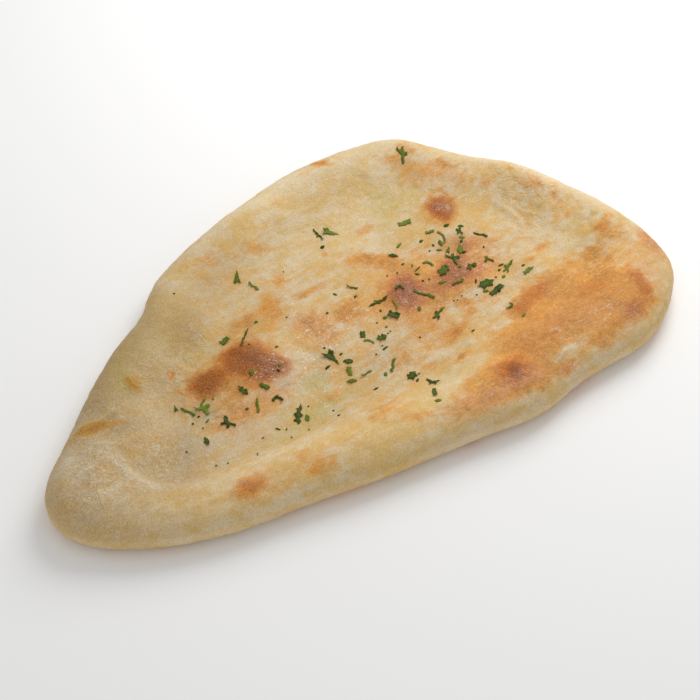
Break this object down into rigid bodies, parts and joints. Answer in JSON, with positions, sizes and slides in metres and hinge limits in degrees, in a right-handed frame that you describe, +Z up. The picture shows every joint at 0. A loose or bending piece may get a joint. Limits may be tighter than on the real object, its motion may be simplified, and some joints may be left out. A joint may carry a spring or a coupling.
{
  "type": "naan bread",
  "caption": "Flat leavened bread with a teardrop outline, a thick soft rim, a dished browned middle and chopped parsley on top.",
  "frame": {"origin": "on the surface the bread lies on, under the middle of its outline", "axes": "+X runs from the narrow end to the broad end, +Z is up through the browned top crust"},
  "size_m": [0.281, 0.173, 0.0173],
  "materials": {
    "baked_dough": "soft baked crust, satin where butter was brushed on",
    "parsley": "damp chopped leaf"
  },
  "bodies": {
    "root": {"naan_bread": "baked_dough", "parsley_dart_01": "parsley", "parsley_strip_02": "parsley", "parsley_fork_03": "parsley", "parsley_fork_04": "parsley", "parsley_leaf_05": "parsley", "parsley_lobe_06": "parsley", "parsley_leaf_07": "parsley", "parsley_chip_08": "parsley", "parsley_strip_09": "parsley", "parsley_hook_10": "parsley", "parsley_frond_11": "parsley", "parsley_leaf_12": "parsley", "parsley_chip_13": "parsley", "parsley_stem_14": "parsley", "parsley_dart_15": "parsley", "parsley_leaf_16": "parsley", "parsley_chip_17": "parsley", "parsley_leaf_18": "parsley", "parsley_strip_19": "parsley", "parsley_strip_20": "parsley", "parsley_chip_21": "parsley", "parsley_hook_22": "parsley", "parsley_lobe_23": "parsley", "parsley_lobe_24": "parsley", "parsley_fork_25": "parsley", "parsley_chip_26": "parsley", "parsley_frond_27": "parsley", "parsley_strip_28": "parsley", "parsley_chip_29": "parsley", "parsley_hook_30": "parsley", "parsley_strip_31": "parsley", "parsley_fork_32": "parsley", "parsley_strip_33": "parsley", "parsley_leaf_34": "parsley", "parsley_lobe_35": "parsley", "parsley_hook_36": "parsley", "parsley_frond_37": "parsley", "parsley_fork_38": "parsley", "parsley_dart_39": "parsley", "parsley_leaf_40": "parsley", "parsley_leaf_41": "parsley", "parsley_hook_42": "parsley", "parsley_chip_43": "parsley", "parsley_fork_44": "parsley", "parsley_fork_45": "parsley", "parsley_strip_46": "parsley", "parsley_hook_47": "parsley", "parsley_lobe_48": "parsley", "parsley_chip_49": "parsley", "parsley_fork_50": "parsley", "parsley_frond_51": "parsley", "parsley_hook_52": "parsley", "parsley_dart_53": "parsley", "parsley_strip_54": "parsley", "parsley_strip_55": "parsley", "parsley_dart_56": "parsley", "parsley_chip_57": "parsley", "parsley_fork_58": "parsley"}
  },
  "joints": []
}
